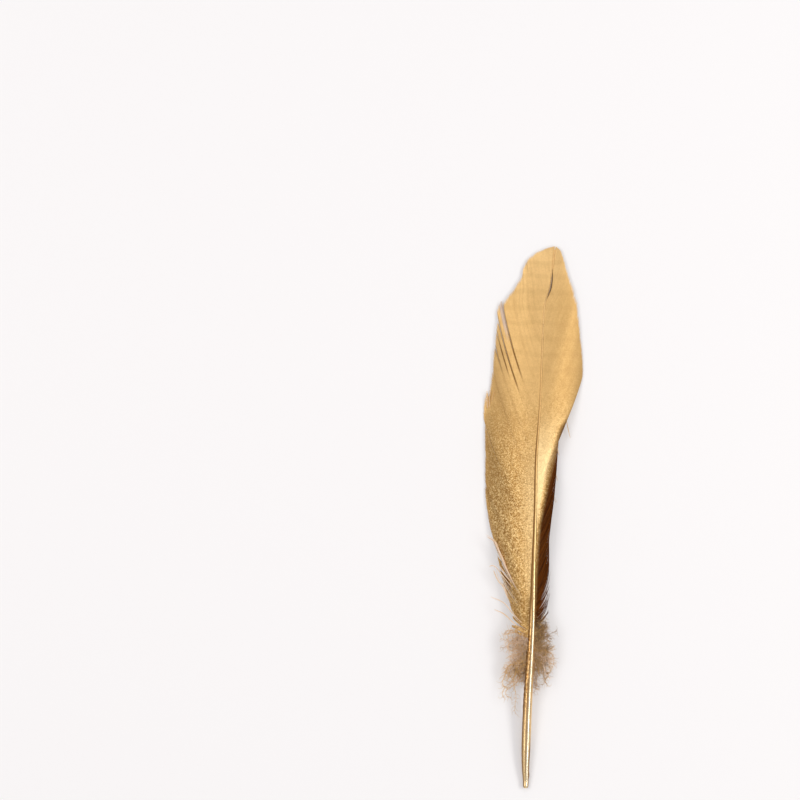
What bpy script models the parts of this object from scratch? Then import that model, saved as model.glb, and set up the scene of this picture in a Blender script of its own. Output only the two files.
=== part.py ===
"""A goose feather painted gold, lying on a surface with its upper side up.

The quill end points to -Y and the tip to +Y. The feather arches: it touches the surface with the end
of its quill, with the edges of both vanes and almost with its tip. Lengths are in metres.
Places along the feather are measured from the quill end, and sideways places from the straight line
that joins the quill end to the tip, +X being the side of the narrow vane.
"""

import bisect
import math

import bmesh
import bpy

LENGTH = 0.190
MIDDLE_X = -0.0044          # halfway between the two widest places of the vanes
VANE_THICKNESS = 0.0006
QUILL_END_RADIUS = 0.00095
STRAIGHT_END = 0.002        # the first stretch of the quill, square to its cut end

# The shaft: (place along, value) knots of three smooth curves.
SHAFT_SIDEWAYS = (
    (0.002, 0.0), (0.031, -0.0009), (0.055, -0.0008), (0.078, -0.0014), (0.097, -0.0018),
    (0.116, -0.0024), (0.136, -0.0020), (0.157, -0.0023), (0.169, -0.0022), (0.176, -0.0007),
    (0.190, 0.0005),
)
SHAFT_HEIGHT = (
    (0.002, QUILL_END_RADIUS), (0.006, 0.00142), (0.015, 0.0023), (0.031, 0.0040), (0.055, 0.0064),
    (0.080, 0.0078), (0.100, 0.0079), (0.120, 0.0072), (0.145, 0.0055), (0.165, 0.0037),
    (0.180, 0.0020), (0.190, 0.0011),
)
SHAFT_RADIUS = (
    (0.002, QUILL_END_RADIUS), (0.006, 0.00122), (0.015, 0.00155), (0.040, 0.00148),
    (0.055, 0.00115), (0.075, 0.00085), (0.097, 0.00060), (0.116, 0.00050), (0.143, 0.00038),
    (0.169, 0.00028), (0.188, 0.00020),
)
SHAFT_END = 0.1885
SHAFT_STEP = 0.0052

BARB_BEND_ALONG = 0.38      # where a barb's bend lies, as shares of its reach along and sideways
BARB_BEND_SIDEWAYS = 0.56
ROOT_OVERLAP = 0.00022      # a vane's sheet starts this far beyond the shaft's centre line
ROW_SHARES = (0, 0.15, 0.30, 0.45, 0.60, 0.74, 0.86, 0.94, 1)   # where the sheet's faces end along a barb
COLUMNS_PER_LOCK = 3
LOCK_GAP = 0.0008           # between two locks, measured at their roots
LOCK_STEP = 0.00030         # a lock's upper barb lies this much higher than its lower one
LOCK_SPLAY = 0.0004         # how far a split between locks spreads at the barb tips
CORNER_ROUNDING = 0.018     # share of its length by which a lock's outer barbs are shorter

# Each vane: +1 or -1 for its side of the shaft; where its outline runs, how high its edge lies and how
# strongly it curls down, all by the place of the barb's tip; how far a barb sweeps towards the feather's
# tip, by the place of its root; and the roots where one lock ends and the next starts.
WIDE_VANE = {
    "name": "wide_vane",
    "side": -1,
    "outline": (
        (0.054, -0.0083), (0.061, -0.0080), (0.070, -0.0112), (0.087, -0.0162), (0.100, -0.0192),
        (0.118, -0.0204), (0.130, -0.0209), (0.142, -0.0194), (0.153, -0.0190), (0.164, -0.0182),
        (0.173, -0.0152), (0.180, -0.0114), (0.1855, -0.0080), (0.1890, -0.0036), (0.190, -0.0003),
    ),
    "edge_height": (
        (0.054, 0.0040), (0.070, 0.0022), (0.090, 0.00060), (0.130, 0.00050), (0.150, 0.0008),
        (0.170, 0.0010), (0.190, 0.0007),
    ),
    "curl": ((0.054, 0.2), (0.110, 0.1), (0.190, 0.0)),
    "sweep": (
        (0.0525, 0.0035), (0.057, 0.0080), (0.0605, 0.0100), (0.062, 0.0245), (0.070, 0.0275),
        (0.080, 0.0310), (0.100, 0.0370), (0.123, 0.0405), (0.128, 0.0407), (0.140, 0.0370),
        (0.150, 0.0315), (0.160, 0.0255), (0.170, 0.0178), (0.180, 0.0095), (0.187, 0.0030),
    ),
    "locks": (
        0.0525, 0.0565, 0.0612, 0.069, 0.076, 0.084, 0.092, 0.0995, 0.107, 0.115, 0.123, 0.128,
        0.136, 0.144, 0.153, 0.163, 0.174, 0.187,
    ),
    # Rows that stay joined at each split between locks, where it is deeper than a nick in the edge.
    "deep_splits": {0.0612: 3, 0.115: 6, 0.123: 3, 0.128: 3},
    # Locks, by their lower root, whose barbs stand out of the outline, and by what share.
    "long_locks": {0.092: 0.05, 0.123: 0.04},
}
NARROW_VANE = {
    "name": "narrow_vane",
    "side": 1,
    "outline": (
        (0.060, 0.0046), (0.080, 0.0041), (0.100, 0.0036), (0.114, 0.0033), (0.124, 0.0049),
        (0.134, 0.0080), (0.1455, 0.0125), (0.158, 0.0111), (0.1725, 0.0085), (0.181, 0.0052),
        (0.1885, 0.0025), (0.190, 0.0009),
    ),
    "edge_height": (
        (0.060, 0.0030), (0.075, 0.0012), (0.090, 0.00060), (0.130, 0.00050), (0.146, 0.00034),
        (0.160, 0.0009), (0.190, 0.0007),
    ),
    "curl": ((0.060, 0.7), (0.080, 1.0), (0.115, 1.0), (0.132, 0.7), (0.147, 0.4), (0.190, 0.0)),
    "sweep": (
        (0.056, 0.0070), (0.062, 0.0120), (0.070, 0.0180), (0.080, 0.0230), (0.100, 0.0290),
        (0.125, 0.0330), (0.140, 0.0320), (0.150, 0.0280), (0.160, 0.0225), (0.170, 0.0165),
        (0.180, 0.0090), (0.187, 0.0030),
    ),
    "locks": (
        0.056, 0.062, 0.069, 0.077, 0.0845, 0.0895, 0.0955, 0.1015, 0.109, 0.117, 0.126, 0.134,
        0.142, 0.151, 0.161, 0.172, 0.187,
    ),
    "deep_splits": {0.0895: 6, 0.1015: 5},
    "long_locks": {0.0845: 0.03, 0.0955: 0.06},
}

# Locks of down at the foot of the vanes: (side, root place, tip place, tip sideways, tip height).
DOWN_LOCKS = (
    (-1, 0.0530, 0.0540, -0.0118, 0.0047),
    (-1, 0.0515, 0.0508, -0.0126, 0.0038),
    (-1, 0.0500, 0.0464, -0.0096, 0.0044),
    (-1, 0.0488, 0.0436, -0.0108, 0.0028),
    (-1, 0.0472, 0.0388, -0.0078, 0.0036),
    (-1, 0.0455, 0.0362, -0.0086, 0.0022),
    (-1, 0.0440, 0.0312, -0.0062, 0.0030),
    (-1, 0.0425, 0.0268, -0.0056, 0.0016),
    (1, 0.0555, 0.0612, 0.0044, 0.0058),
    (1, 0.0540, 0.0570, 0.0052, 0.0060),
    (1, 0.0525, 0.0534, 0.0072, 0.0046),
    (1, 0.0512, 0.0484, 0.0068, 0.0048),
    (1, 0.0498, 0.0452, 0.0084, 0.0034),
    (1, 0.0482, 0.0408, 0.0064, 0.0036),
    (1, 0.0466, 0.0384, 0.0056, 0.0024),
    (1, 0.0450, 0.0342, 0.0032, 0.0028),
)
DOWN_ROOT_RADIUS = 0.00085
DOWN_TIP_RADIUS = 0.00035
DOWN_SAG = 0.0012

# Single barbs that stand off the wide vane: points of (place, sideways, height) from root to tip.
LOOSE_BARBS = (
    ((0.066, -0.0050, 0.0062), (0.074, -0.0096, 0.0051), (0.081, -0.0134, 0.0042),
     (0.0855, -0.0158, 0.0040), (0.0872, -0.0186, 0.0044)),
    ((0.0605, -0.0045, 0.0057), (0.068, -0.0086, 0.0046), (0.0735, -0.0118, 0.0040),
     (0.0768, -0.0158, 0.0044)),
    ((0.0600, -0.0050, 0.0054), (0.0655, -0.0092, 0.0046), (0.0705, -0.0124, 0.0036),
     (0.0758, -0.0152, 0.0034)),
    ((0.0575, -0.0040, 0.0055), (0.0610, -0.0078, 0.0050), (0.0645, -0.0112, 0.0042),
     (0.0662, -0.0158, 0.0034)),
    ((0.0550, -0.0040, 0.0054), (0.0580, -0.0078, 0.0047), (0.0605, -0.0108, 0.0040),
     (0.0618, -0.0142, 0.0036)),
)
LOOSE_ROOT_RADIUS = 0.00045
LOOSE_TIP_RADIUS = 0.00022

GOLD_COLOUR = (0.60, 0.40, 0.17, 1.0)
GOLD_METALLIC = 0.9
GOLD_ROUGHNESS = 0.38


def at(knots, place):
    """The value at a place of the smooth curve through (place, value) knots."""
    places = [knot[0] for knot in knots]
    values = [knot[1] for knot in knots]
    if place <= places[0]:
        return values[0]
    if place >= places[-1]:
        return values[-1]
    i = bisect.bisect_right(places, place) - 1

    def slope(j):
        before, after = max(j - 1, 0), min(j + 1, len(knots) - 1)
        return (values[after] - values[before]) / (places[after] - places[before])

    span = places[i + 1] - places[i]
    t = (place - places[i]) / span
    start, end = slope(i) * span, slope(i + 1) * span
    return (
        values[i] * (1 + 2 * t) * (1 - t) ** 2 + start * t * (1 - t) ** 2
        + values[i + 1] * t * t * (3 - 2 * t) + end * t * t * (t - 1)
    )


def in_frame(place, sideways, height):
    """A point of the feather in the part's frame, whose origin is under the middle of the feather."""
    return (sideways - MIDDLE_X, place - LENGTH / 2, height)


def remove_everything():
    for thing in list(bpy.data.objects):
        bpy.data.objects.remove(thing)


def collection(name):
    made = bpy.data.collections.new(name)
    bpy.context.scene.collection.children.link(made)
    return made


def gold_paint():
    material = bpy.data.materials.new("gold_paint")
    material.use_nodes = True
    shader = material.node_tree.nodes["Principled BSDF"]
    shader.inputs["Base Color"].default_value = GOLD_COLOUR
    shader.inputs["Metallic"].default_value = GOLD_METALLIC
    shader.inputs["Roughness"].default_value = GOLD_ROUGHNESS
    return material


def tube_object(name, strands, bevel_resolution, group):
    """Tapered round strands, each a list of (point, radius), as one mesh object with closed ends."""
    curve = bpy.data.curves.new(name, "CURVE")
    curve.dimensions = "3D"
    curve.bevel_depth = 1.0
    curve.bevel_resolution = bevel_resolution
    curve.use_fill_caps = True
    for strand in strands:
        spline = curve.splines.new("POLY")
        spline.points.add(len(strand) - 1)
        for spot, (point, radius) in zip(spline.points, strand):
            spot.co = (*point, 1.0)
            spot.radius = radius
    traced = bpy.data.objects.new(name + "_curve", curve)
    group.objects.link(traced)
    bpy.context.view_layer.update()
    evaluated = traced.evaluated_get(bpy.context.evaluated_depsgraph_get())
    mesh = bpy.data.meshes.new_from_object(evaluated)
    mesh.name = name
    tube = bpy.data.objects.new(name, mesh)
    tube.matrix_world = traced.matrix_world
    group.objects.link(tube)
    bpy.data.objects.remove(traced)
    weld(mesh)
    return tube


def weld(mesh):
    shape = bmesh.new()
    shape.from_mesh(mesh)
    bmesh.ops.remove_doubles(shape, verts=shape.verts, dist=1e-6)
    bmesh.ops.recalc_face_normals(shape, faces=shape.faces)
    shape.to_mesh(mesh)
    shape.free()


def shaft(group):
    """Quill and shaft: one tapered tube from the flat cut end of the quill to near the tip."""
    steps = round((SHAFT_END - STRAIGHT_END) / SHAFT_STEP)
    places = [0.0] + [
        STRAIGHT_END + (SHAFT_END - STRAIGHT_END) * i / steps for i in range(steps + 1)
    ]
    strand = [
        (
            in_frame(place, at(SHAFT_SIDEWAYS, place), at(SHAFT_HEIGHT, place)),
            at(SHAFT_RADIUS, place),
        )
        for place in places
    ]
    return tube_object("feather", [strand], 3, group)


def cross_section(share, curl):
    """How far out and how far down a vane is at a share of its width, from a slope to a quarter round."""
    turn = share * math.pi / 2
    outward = (1 - curl) * share + curl * math.sin(turn)
    downward = (1 - curl) * share ** 1.5 + curl * (1 - math.cos(turn))
    return outward, min(downward, 1)


def barb_point(vane, root, share):
    """The point at a share of the length of the barb whose root is at a place on the shaft."""
    sweep = at(vane["sweep"], root)
    tip = root + sweep
    along = 2 * share * (1 - share) * BARB_BEND_ALONG + share ** 2
    across = 2 * share * (1 - share) * BARB_BEND_SIDEWAYS + share ** 2
    place = root + sweep * along
    outward, downward = cross_section(across, at(vane["curl"], tip))
    start = -vane["side"] * ROOT_OVERLAP
    width = at(vane["outline"], tip) - at(SHAFT_SIDEWAYS, tip) - start
    drop = at(SHAFT_HEIGHT, tip) - at(vane["edge_height"], tip)
    sideways = at(SHAFT_SIDEWAYS, place) + start + width * outward
    height = at(SHAFT_HEIGHT, place) - drop * downward
    return in_frame(place, sideways, height)


def vane_columns(vane):
    """For each column of the sheet: its root place, how high it lies, its share of splay and its reach."""
    columns = []
    for low, high in zip(vane["locks"], vane["locks"][1:]):
        reach = 1 + vane["long_locks"].get(low, 0)
        for i in range(COLUMNS_PER_LOCK + 1):
            t = i / COLUMNS_PER_LOCK
            root = low + LOCK_GAP / 2 + (high - low - LOCK_GAP) * t
            columns.append((root, (t - 0.5) * LOCK_STEP, 1 - 2 * t, reach))
    return columns


def cut_splits(sheet, vane, columns_wide):
    """Opens the sheet between neighbouring locks, from the edge of the vane inwards."""
    rows = len(ROW_SHARES) - 1
    per_lock = COLUMNS_PER_LOCK + 1
    joined = {
        lock * per_lock - 1: vane["deep_splits"].get(root, rows - 1)
        for lock, root in enumerate(vane["locks"][1:-1], start=1)
    }
    opened = []
    for face in sheet.faces:
        middle = face.calc_center_median()
        column = math.floor((middle.x + 0.5) * columns_wide)
        row = math.floor((middle.y + 0.5) * rows)
        if column in joined and row >= joined[column]:
            opened.append(face)
    bmesh.ops.delete(sheet, geom=opened, context="FACES")


def vane_sheet(vane, group):
    """A vane: a grid whose columns are barbs, split into locks and given a thickness."""
    columns = vane_columns(vane)
    wide = len(columns) - 1
    rows = len(ROW_SHARES) - 1
    sheet = bmesh.new()
    bmesh.ops.create_grid(sheet, x_segments=wide, y_segments=rows, size=0.5)
    cut_splits(sheet, vane, wide)
    raised = []
    for vertex in sheet.verts:
        root, raise_by, splay, reach = columns[round((vertex.co.x + 0.5) * wide)]
        share = ROW_SHARES[round((vertex.co.y + 0.5) * rows)]
        spread_root = root + LOCK_SPLAY * splay * share ** 2 * 0.5
        reach_here = 1 + (reach - 1 - CORNER_ROUNDING * splay ** 4) * share ** 2
        vertex.co = barb_point(vane, spread_root, share * reach_here)
        raised.append((vertex, raise_by * min(1, share * 3)))
    if vane["side"] > 0:
        bmesh.ops.reverse_faces(sheet, faces=sheet.faces)
    sheet.normal_update()
    for vertex, raise_by in raised:
        vertex.co += vertex.normal * raise_by
    mesh = bpy.data.meshes.new(vane["name"])
    sheet.to_mesh(mesh)
    sheet.free()
    vane_object = bpy.data.objects.new(vane["name"], mesh)
    group.objects.link(vane_object)
    thickness = vane_object.modifiers.new("thickness", "SOLIDIFY")
    thickness.thickness = VANE_THICKNESS
    thickness.offset = 0
    return vane_object


def down_strand(side, root, tip, tip_sideways, tip_height):
    """A lock of down: it leaves the quill sideways, bends towards the quill end and sags a little."""
    points = []
    steps = 5
    start = (root, at(SHAFT_SIDEWAYS, root) + side * 0.0004, at(SHAFT_HEIGHT, root))
    bend = (root + 0.002, start[1] + (tip_sideways - start[1]) * 0.7, start[2] + 0.0004)
    for i in range(steps + 1):
        t = i / steps
        point = [
            (1 - t) ** 2 * a + 2 * t * (1 - t) * b + t * t * c
            for a, b, c in zip(start, bend, (tip, tip_sideways, tip_height))
        ]
        point[2] -= DOWN_SAG * math.sin(math.pi * t) * 0.5
        radius = DOWN_ROOT_RADIUS + (DOWN_TIP_RADIUS - DOWN_ROOT_RADIUS) * t
        points.append((in_frame(*point), radius))
    return points


def loose_strand(points):
    last = len(points) - 1
    return [
        (in_frame(*point), LOOSE_ROOT_RADIUS + (LOOSE_TIP_RADIUS - LOOSE_ROOT_RADIUS) * i / last)
        for i, point in enumerate(points)
    ]


def grow_on(body, addition):
    """Joins a shape to the feather, which grew as one piece."""
    addition.hide_render = True
    addition.display_type = "WIRE"
    union = body.modifiers.new("with_" + addition.name, "BOOLEAN")
    union.operation = "UNION"
    union.solver = "EXACT"
    union.use_self = True
    union.object = addition


def main():
    remove_everything()
    parts = collection("goose_feather")
    grown_shapes = collection("grown_shapes")
    feather = shaft(parts)
    strands = [down_strand(*lock) for lock in DOWN_LOCKS]
    strands += [loose_strand(points) for points in LOOSE_BARBS]
    grow_on(feather, vane_sheet(WIDE_VANE, grown_shapes))
    grow_on(feather, vane_sheet(NARROW_VANE, grown_shapes))
    grow_on(feather, tube_object("down_and_loose_barbs", strands, 1, grown_shapes))
    feather.data.materials.append(gold_paint())
    feather.data.shade_smooth()
    feather.data.set_sharp_from_angle(angle=math.radians(40))


main()
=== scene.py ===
# %% [markdown]
# A goose feather painted gold, lying on a white table with its upper side up.
#
# A flight feather is one hollow quill that thins into a shaft, with a row of barbs on each side. The
# barbs lie close together like the teeth of two combs and hook into their neighbours, so from a step
# away each row looks like one smooth leaf, a vane. Only where the hooks let go does a split show that
# it is made of hundreds of strips.
#
# The construction model already holds the shape, size and place of the feather. It is loaded first
# as a fixed frame, and everything below is laid over its curves: the shaft, some six hundred single
# barbs, the down at the foot, and the gold paint.

# %% Load the construction model
import math

import bpy
import numpy as np
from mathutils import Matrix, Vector


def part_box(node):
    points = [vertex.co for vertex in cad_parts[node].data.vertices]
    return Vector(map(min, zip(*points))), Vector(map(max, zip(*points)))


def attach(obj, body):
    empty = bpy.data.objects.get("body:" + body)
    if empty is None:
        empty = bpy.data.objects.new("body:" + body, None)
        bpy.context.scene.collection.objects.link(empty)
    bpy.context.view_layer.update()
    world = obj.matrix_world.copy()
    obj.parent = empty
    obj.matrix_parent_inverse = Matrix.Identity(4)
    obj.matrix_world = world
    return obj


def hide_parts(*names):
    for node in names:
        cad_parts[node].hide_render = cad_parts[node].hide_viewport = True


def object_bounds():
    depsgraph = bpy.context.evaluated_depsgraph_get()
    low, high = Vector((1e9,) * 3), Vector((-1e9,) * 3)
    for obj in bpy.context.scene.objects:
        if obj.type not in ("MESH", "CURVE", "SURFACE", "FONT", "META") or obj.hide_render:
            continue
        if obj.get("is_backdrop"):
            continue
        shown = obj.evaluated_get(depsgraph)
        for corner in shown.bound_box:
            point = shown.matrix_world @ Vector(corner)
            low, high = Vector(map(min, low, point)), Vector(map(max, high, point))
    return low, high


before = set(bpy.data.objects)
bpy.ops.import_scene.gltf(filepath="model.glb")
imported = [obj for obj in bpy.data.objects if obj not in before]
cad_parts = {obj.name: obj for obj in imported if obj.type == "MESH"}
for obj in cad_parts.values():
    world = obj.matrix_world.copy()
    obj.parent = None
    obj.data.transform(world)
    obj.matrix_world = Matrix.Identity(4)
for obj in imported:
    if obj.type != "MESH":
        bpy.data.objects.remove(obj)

cad_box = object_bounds()
cad_low, cad_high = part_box("feather")
print("construction model, mm:", [round(1000 * size, 1) for size in cad_high - cad_low])

# %% [markdown]
# Places on a feather are easiest to give as a bird keeper would measure them: how far along from the
# end of the quill, how far sideways from the straight line between quill end and tip, and how high
# above the table. Narrow-vane side is positive. `in_frame` turns such a place into the model's own
# axes, whose origin lies under the middle of the feather.
#
# Every long curve of the feather is a handful of knots with a smooth line through them. `at` reads
# such a curve. It takes whole arrays of places, so one call serves hundreds of barbs.

# %% Places and curves
QUILL_END_Y = cad_low.y
LENGTH = 0.190
MIDDLE_X = -0.0044                 # the sideways place that lies on the model's y axis


def in_frame(place, sideways, height):
    """Points in the model's axes, from places along, sideways and up."""
    place, sideways, height = np.broadcast_arrays(place, sideways, height)
    return np.stack((sideways - MIDDLE_X, place + QUILL_END_Y, height), axis=-1)


def at(knots, place):
    """The smooth curve through (place, value) knots, read at one place or at an array of them."""
    places, values = np.array(knots, float).T
    number = np.arange(len(places))
    before, after = np.maximum(number - 1, 0), np.minimum(number + 1, len(places) - 1)
    slopes = (values[after] - values[before]) / (places[after] - places[before])
    i = np.clip(np.searchsorted(places, place, side="right") - 1, 0, len(places) - 2)
    span = places[i + 1] - places[i]
    t = np.clip((place - places[i]) / span, 0, 1)
    ease_out, ease_in = (1 + 2 * t) * (1 - t) ** 2, t * t * (3 - 2 * t)
    bend = slopes[i] * t * (1 - t) ** 2 + slopes[i + 1] * t * t * (t - 1)
    return values[i] * ease_out + values[i + 1] * ease_in + span * bend


def smooth_step(low, high, value):
    """0 at low, 1 at high, an even rise between them and no change beyond. low may be the larger."""
    t = np.clip((value - low) / (high - low), 0, 1)
    return t * t * (3 - 2 * t)


def stretch(value, start, full, full_end, end):
    """1 between full and full_end, 0 before start and after end, and even slopes between."""
    return smooth_step(start, full, value) * smooth_step(end, full_end, value)


def bell(value, middle, width):
    """1 at the middle, and fading away on both sides of it."""
    return np.exp(-(((value - middle) / width) ** 2))


print("a stretch from 1 to 4, full from 2 to 3, at 1.5:", stretch(1.5, 1, 2, 3, 4))

# %% [markdown]
# Three such curves give the shaft: how it strays sideways, how high its middle runs above the table,
# and its radius. It could be drawn as a curve object, but the vanes hang on the same line, and they
# have to read it at any place, so it is kept as knots.

# %% The line of the shaft
SHAFT_SIDEWAYS = (
    (0.002, 0.0), (0.0095, -0.0005), (0.031, -0.0009), (0.055, -0.0008), (0.078, -0.0014),
    (0.097, -0.0018), (0.116, -0.0024), (0.136, -0.0020), (0.157, -0.0023), (0.169, -0.0022),
    (0.176, -0.0007), (0.190, 0.0005),
)
SHAFT_HEIGHT = (
    (0.002, 0.00095), (0.006, 0.00142), (0.015, 0.0023), (0.031, 0.0040), (0.055, 0.0064),
    (0.080, 0.00777), (0.100, 0.00787), (0.120, 0.0072), (0.145, 0.0055), (0.165, 0.0037),
    (0.180, 0.0020), (0.190, 0.0011),
)
SHAFT_RADIUS = (
    (0.002, 0.00095), (0.006, 0.00122), (0.015, 0.00155), (0.040, 0.00148), (0.055, 0.00115),
    (0.075, 0.00085), (0.097, 0.00060), (0.116, 0.00050), (0.143, 0.00038), (0.169, 0.00028),
    (0.188, 0.00020),
)
SHAFT_END = 0.1885
print("shaft rises to", round(1000 * float(at(SHAFT_HEIGHT, 0.095)), 1), "mm above the table")

# %% [markdown]
# The camera looks straight down, as the photographer did, from about twelve times the feather's
# length, so that the picture is almost free of perspective. The feather lies three degrees off the
# upright in the picture and right of its middle. Turning the camera gives that tilt without moving
# the feather out of the model's axes.

# %% Camera
FRAME_WIDTH = 0.280                # what the picture takes in at the height of the feather
LENS = 300.0
SENSOR = 36.0
MEAN_HEIGHT = 0.0015
CAMERA_TURN = math.radians(3.0)
PICTURE_MIDDLE = (-0.0466, 0.0384)

camera_data = bpy.data.cameras.new("camera")
camera_data.lens = LENS
camera_data.sensor_width = SENSOR
camera_data.clip_start, camera_data.clip_end = 0.01, 20.0
camera = bpy.data.objects.new("camera", camera_data)
bpy.context.scene.collection.objects.link(camera)
camera.location = (*PICTURE_MIDDLE, MEAN_HEIGHT + FRAME_WIDTH * LENS / SENSOR)
camera.rotation_euler = (0, 0, CAMERA_TURN)
bpy.context.scene.camera = camera
print("camera", round(camera.location.z, 3), "m above the table")

# %% [markdown]
# A white table top under soft light. Gold paint shows its shape by what it mirrors, so where the
# lamps stand matters more than how strong they are: a long one on the right draws the bright line
# along quill and shaft, a dimmer one on the left keeps that side warm, and one beyond the tip lights
# the upper vanes. The sky is a pale grey, a little pink, which is the colour that the shadows take.
# The table also glows a little, so that the shadows on it stay as pale as in a bright white room.

# %% Table and light
TABLE_SIZE = 6.0
TABLE_LOOKS = {
    "Base Color": (0.72, 0.72, 0.73, 1), "Roughness": 0.9, "Specular IOR Level": 0.1,
    "Emission Color": (1.0, 0.985, 0.98, 1), "Emission Strength": 0.19,
}
SKY_LOOKS = {"Color": (0.93, 0.90, 0.92, 1), "Strength": 0.58}
LAMPS = (
    # name, place, length and width, watts, colour
    ("lamp_right", (0.74, 0.02, 0.66), (0.80, 0.26), 4.2, (1.0, 0.975, 0.93)),
    ("lamp_left", (-0.58, 0.02, 0.80), (0.80, 0.40), 3.1, (1.0, 0.96, 0.91)),
    ("lamp_far", (0.05, 1.00, 0.70), (0.70, 0.70), 1.6, (1.0, 0.98, 0.96)),
)


def set_looks(shader, looks):
    for socket, value in looks.items():
        shader.inputs[socket].default_value = value

# %% The table under its lamps
bpy.ops.mesh.primitive_plane_add(size=TABLE_SIZE, location=(0, 0, 0))
table = bpy.context.active_object
table.name = "table_top"
table_white = bpy.data.materials.new("white_table")
table_white.use_nodes = True
set_looks(table_white.node_tree.nodes["Principled BSDF"], TABLE_LOOKS)
table.data.materials.append(table_white)
table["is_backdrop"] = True

world = bpy.data.worlds.new("pale_sky")
world.use_nodes = True
set_looks(world.node_tree.nodes["Background"], SKY_LOOKS)
bpy.context.scene.world = world
bpy.context.scene.view_settings.view_transform = "Standard"

for name, place, size, watts, colour in LAMPS:
    light = bpy.data.lights.new(name, "AREA")
    light.shape = "RECTANGLE"
    light.size, light.size_y = size
    light.energy = watts
    light.color = colour
    lamp = bpy.data.objects.new(name, light)
    lamp.location = place
    lamp.rotation_euler = (-Vector(place)).to_track_quat("-Z", "Y").to_euler()
    bpy.context.scene.collection.objects.link(lamp)
print(len(LAMPS), "lamps")

# %% [markdown]
# Barbs, hairs, down and shaft are all long closed tubes, so one helper makes them. It is given the
# rings of points around each strand and joins ring to ring, with a cap at both ends. A curve with a
# bevel would do for one strand, but with rings each point can carry values of its own, such as how
# far along the feather it lies, and the paint reads those later.

# %% Strands from rings
def mesh_of_rings(name, rings, values):
    """Closed strands as one object. rings[strand, step, around] are points that run anticlockwise
    for somebody who looks back from the strand's far end. values are named numbers, one a point."""
    steps, around = rings.shape[1:3]
    index = np.arange(rings.size // 3).reshape(-1, steps, around)
    here, there = index[:, :-1], index[:, 1:]
    sides = np.stack((here, np.roll(here, -1, 2), np.roll(there, -1, 2), there), axis=-1)
    faces = sides.reshape(-1, 4).tolist() + index[:, 0, ::-1].tolist() + index[:, -1].tolist()
    mesh = bpy.data.meshes.new(name)
    mesh.from_pydata(rings.reshape(-1, 3).tolist(), [], faces)
    for value_name, numbers in values.items():
        numbers = np.broadcast_to(numbers, rings.shape[:3]).ravel().astype(np.float32)
        mesh.attributes.new(value_name, "FLOAT", "POINT").data.foreach_set("value", numbers)
    piece = bpy.data.objects.new(name, mesh)
    bpy.context.scene.collection.objects.link(piece)
    return piece


def unit(vectors):
    length = np.linalg.norm(vectors, axis=-1, keepdims=True)
    return vectors / np.maximum(length, 1e-12)


def round_rings(points, radii, around):
    """Rings around lines of points, each ring square to its line. radii[strand, step] may have one
    row for all strands."""
    tangent = unit(np.gradient(points, axis=1))
    across = unit(np.cross((0.0, 0.0, 1.0), tangent))
    upward = np.cross(tangent, across)
    turn = (np.arange(around) * 2 * math.pi / around)[:, None]
    circle = np.cos(turn) * across[:, :, None] + np.sin(turn) * upward[:, :, None]
    return points[:, :, None] + circle * radii[..., None, None]


def feather_piece(name, rings, values, material, slot, sharp_angle=180):
    """Makes, paints and smooths a piece, hangs it on the root body and hides the construction feather.
    """
    piece = mesh_of_rings(name, rings, values)
    piece.data.materials.append(material)
    piece.data.shade_smooth()
    piece.data.set_sharp_from_angle(angle=math.radians(sharp_angle))
    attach(piece, "root")
    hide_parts("feather")
    triangles = sum(len(face.vertices) - 2 for face in piece.data.polygons)
    print(piece.name, triangles, "triangles")

# %% [markdown]
# Materials are made of nodes. A few short helpers keep their recipes readable: `node` adds one and
# fills its sockets, with numbers or with another node's output, and the rest name the few kinds that
# the paint needs.

# %% Helpers for node materials
def node(tree, kind, inputs, **settings):
    made = tree.nodes.new("ShaderNode" + kind)
    for name, value in settings.items():
        setattr(made, name, value)
    for socket, value in inputs.items():
        if isinstance(value, bpy.types.NodeSocket):
            tree.links.new(value, made.inputs[socket])
        else:
            made.inputs[socket].default_value = value
    return made

# %% Helpers for numbers, colours and relief
def value_of(tree, name):
    """A number that the mesh carries at its points."""
    return node(tree, "Attribute", {}, attribute_name=name).outputs["Fac"]


def calculate(tree, operation, first, second):
    return node(tree, "Math", {0: first, 1: second}, operation=operation).outputs[0]


def times(tree, first, second):
    return calculate(tree, "MULTIPLY", first, second)


def vector(tree, operation, *inputs):
    return node(tree, "VectorMath", dict(enumerate(inputs)), operation=operation).outputs[0]


def spread(tree, value, low, high, to_low=0.0, to_high=1.0):
    """Stretches the range low to high onto another one, and stops at its ends."""
    inputs = {"Value": value, "From Min": low, "From Max": high, "To Min": to_low, "To Max": to_high}
    return node(tree, "MapRange", inputs, interpolation_type="SMOOTHSTEP").outputs["Result"]


def blend(tree, share, first, second):
    """The first colour where share is 0, the second where it is 1."""
    return node(tree, "Mix", {0: share, 6: first, 7: second}, data_type="RGBA").outputs[2]


def painted_over(tree, colour, *layers):
    """A colour under layers of paint, each a share and a colour."""
    for share, layer in layers:
        colour = blend(tree, share, colour, layer)
    return colour


def colours_along(tree, value, stops):
    """Colours by a number from 0 to 1. stops are (number, red, green, blue)."""
    ramp = node(tree, "ValToRGB", {"Fac": value})
    elements = ramp.color_ramp.elements
    while len(elements) < len(stops):
        elements.new(0.5)
    for element, (position, *colour) in zip(elements, stops):
        element.position = position
        element.color = (*colour, 1)
    return ramp.outputs["Color"]


def grain(tree, where, grains_per_metre, detail, roughness):
    inputs = {"Vector": where, "Scale": grains_per_metre, "Detail": detail, "Roughness": roughness}
    return node(tree, "TexNoise", inputs).outputs["Fac"]


def bumped(tree, height, strength, distance, **normal):
    """The surface's direction, bent by fine relief."""
    inputs = {"Height": height, "Strength": strength, "Distance": distance, **normal}
    return node(tree, "Bump", inputs).outputs["Normal"]


def object_place(tree):
    return node(tree, "TexCoord", {}).outputs["Object"]

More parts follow.
